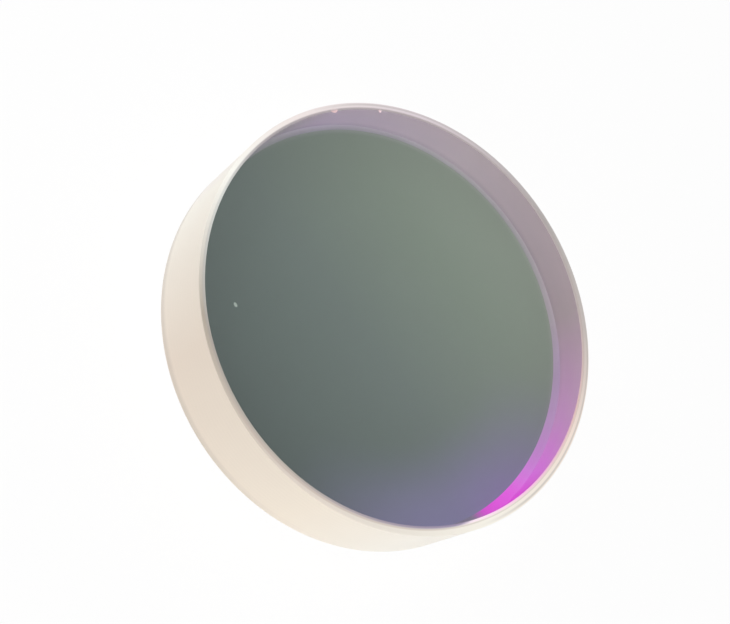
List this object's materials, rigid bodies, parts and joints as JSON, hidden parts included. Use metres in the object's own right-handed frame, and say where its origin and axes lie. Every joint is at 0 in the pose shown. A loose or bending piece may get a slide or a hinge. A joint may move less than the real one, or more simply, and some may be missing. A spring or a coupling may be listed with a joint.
{
  "type": "optical mirror",
  "caption": "Flat round mirror of clear optical glass with a fine-ground barrel, bevelled edges and a dielectric coating on its rear face.",
  "frame": {"origin": "centre of the coated rear face, which the mirror lies on", "axes": "+Z along the optical axis, out of the clear front face; X and Y lie in the rear face"},
  "size_m": [0.0254, 0.0254, 0.006],
  "materials": {
    "optical_glass": "polished"
  },
  "bodies": {
    "root": {"mirror_blank": "optical_glass"}
  },
  "joints": []
}
